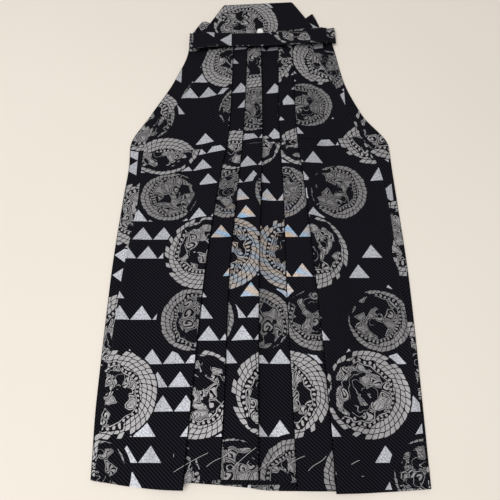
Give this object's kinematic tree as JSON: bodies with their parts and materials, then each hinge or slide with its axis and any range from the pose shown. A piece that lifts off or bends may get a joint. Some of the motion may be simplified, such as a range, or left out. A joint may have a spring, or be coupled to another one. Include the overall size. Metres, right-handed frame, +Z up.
{
  "type": "hakama trousers laid flat",
  "caption": "Pleated divided trousers of dark printed cloth, laid flat front up, with a stiff back board and folded waist ties.",
  "frame": {"origin": "middle of the garment's underside, on the surface that it lies on", "axes": "+Y from the hem to the waist, +Z up through the cloth from back to front, +X towards the wearer's left leg"},
  "size_m": [0.352, 0.6598, 0.0166],
  "materials": {
    "printed_cloth": "black ribbed cloth with a matt silver foil print",
    "plain_cloth": "black ribbed cloth, unprinted",
    "white_plastic": "smooth white plastic"
  },
  "bodies": {
    "root": {"back_right_leg": "printed_cloth", "back_left_leg": "printed_cloth", "gusset_right": "plain_cloth", "gusset_left": "plain_cloth", "front_right_leg": "printed_cloth", "front_left_leg": "printed_cloth", "back_board": "printed_cloth", "board_spatula": "white_plastic", "back_tie_right": "printed_cloth", "back_tie_left": "printed_cloth", "front_band": "plain_cloth", "front_tie_right": "printed_cloth", "front_tie_left": "printed_cloth"}
  },
  "joints": []
}
